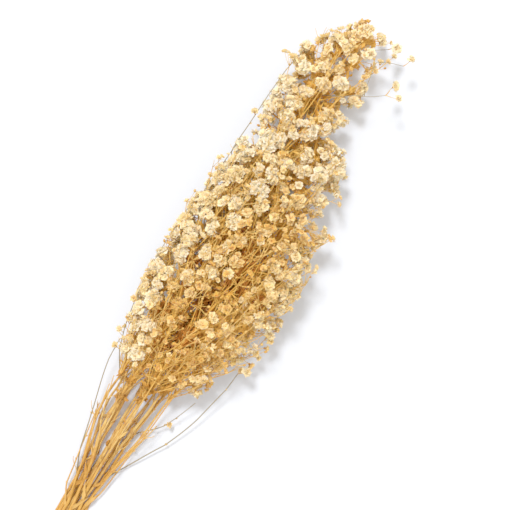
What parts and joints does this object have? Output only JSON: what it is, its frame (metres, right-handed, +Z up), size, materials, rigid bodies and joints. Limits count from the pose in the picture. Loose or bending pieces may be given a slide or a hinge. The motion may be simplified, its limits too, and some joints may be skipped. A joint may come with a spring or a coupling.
{
  "type": "dried gypsophila bunch",
  "caption": "Bunch of dried baby's breath lying on its side: thin golden cut stems in a loose pile, fanning into a long head of small cream blooms.",
  "frame": {"origin": "on the table, under the middle of the lying bunch", "axes": "+Y from the cut ends to the flower tips, +Z up from the table, +X to the right seen from above"},
  "size_m": [0.1218, 0.5337, 0.0716],
  "materials": {
    "dried_stem": "matte dried plant: golden stems and cream petals"
  },
  "bodies": {
    "root": {"gypsophila_stem_01": "dried_stem", "gypsophila_stem_02": "dried_stem", "gypsophila_stem_03": "dried_stem", "gypsophila_stem_04": "dried_stem", "gypsophila_stem_05": "dried_stem", "gypsophila_stem_06": "dried_stem", "gypsophila_stem_07": "dried_stem", "gypsophila_stem_08": "dried_stem", "gypsophila_stem_09": "dried_stem", "gypsophila_stem_10": "dried_stem", "gypsophila_stem_11": "dried_stem", "gypsophila_stem_12": "dried_stem"}
  },
  "joints": []
}
